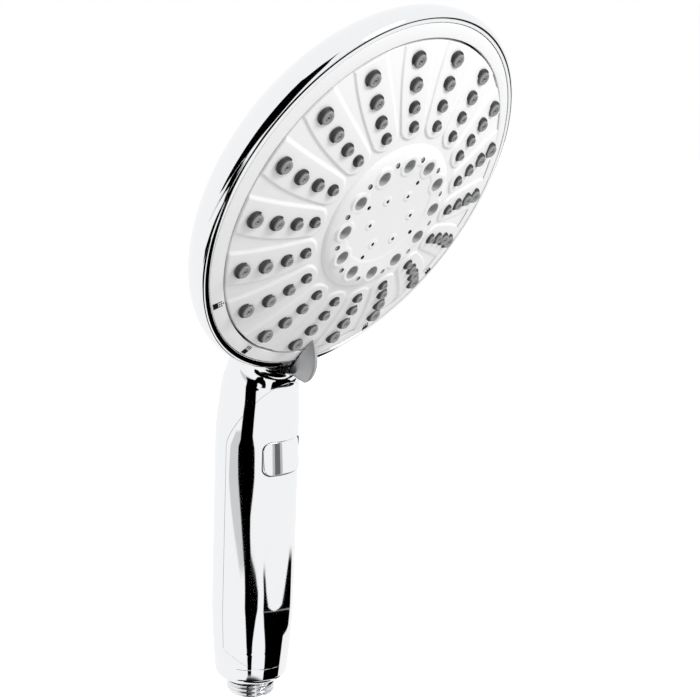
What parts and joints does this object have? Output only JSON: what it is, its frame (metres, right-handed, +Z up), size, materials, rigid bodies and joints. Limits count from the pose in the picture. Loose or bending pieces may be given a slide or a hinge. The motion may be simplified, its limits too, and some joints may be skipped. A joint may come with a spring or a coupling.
{
  "type": "handheld shower head",
  "caption": "Handheld shower head with a round domed spray face that turns with its lever to change the spray, a curved handle with a push button, and a threaded hose inlet.",
  "frame": {"origin": "centre of the end face of the hose thread", "axes": "+Z up the handle towards the head, -Y the side that sprays, +X to the right when facing the spray face"},
  "size_m": [0.1568, 0.105, 0.2886],
  "materials": {
    "chrome_plate": "mirror-polished plating",
    "satin_silver": "satin plating",
    "face_white": "moulded, satin gloss",
    "icon_print": "printed",
    "silicone": "soft matt",
    "inner_plastic": "as moulded",
    "seal_rubber": "smooth",
    "steel": "bright",
    "brass": "turned"
  },
  "bodies": {
    "housing": {"rear_shell": "chrome_plate", "front_cover": "chrome_plate", "trim_ring": "chrome_plate", "icon_ring": "face_white", "icon_marks": "icon_print", "distributor": "inner_plastic", "port_seals": "seal_rubber", "distributor_screws": "steel", "pivot_screw": "steel", "pivot_washer": "steel", "detent_ball": "steel", "detent_spring": "steel", "water_tube": "inner_plastic", "tube_orings": "seal_rubber", "valve_body": "inner_plastic", "valve_plug": "inner_plastic", "lower_tube": "inner_plastic", "lower_tube_orings": "seal_rubber", "valve_spring": "steel", "inlet_nipple": "chrome_plate", "nipple_oring": "seal_rubber", "flow_regulator": "inner_plastic", "filter_screen": "steel"},
    "selector": {"face_plate": "face_white", "selector_lever": "satin_silver", "nozzle_mat": "silicone", "centre_disc": "face_white", "jet_nozzles": "inner_plastic", "mist_inserts": "inner_plastic", "chamber_plate": "inner_plastic"},
    "button": {"pause_button": "chrome_plate", "valve_spool": "brass", "spool_orings": "seal_rubber"}
  },
  "joints": [
    {"name": "selector_turn", "type": "hinge", "parent": "housing", "child": "selector", "pos_m": [0, -0.0579, 0.2134], "axis": [0, -0.8988, -0.4384], "range_deg": [-60, 60]},
    {"name": "button_push", "type": "slide", "parent": "housing", "child": "button", "axis": [0, 1, 0], "range_m": [0, 0.0038], "stiffness_N_per_m": 900, "springref_m": -0.004, "deforming": ["valve_spring"]}
  ]
}
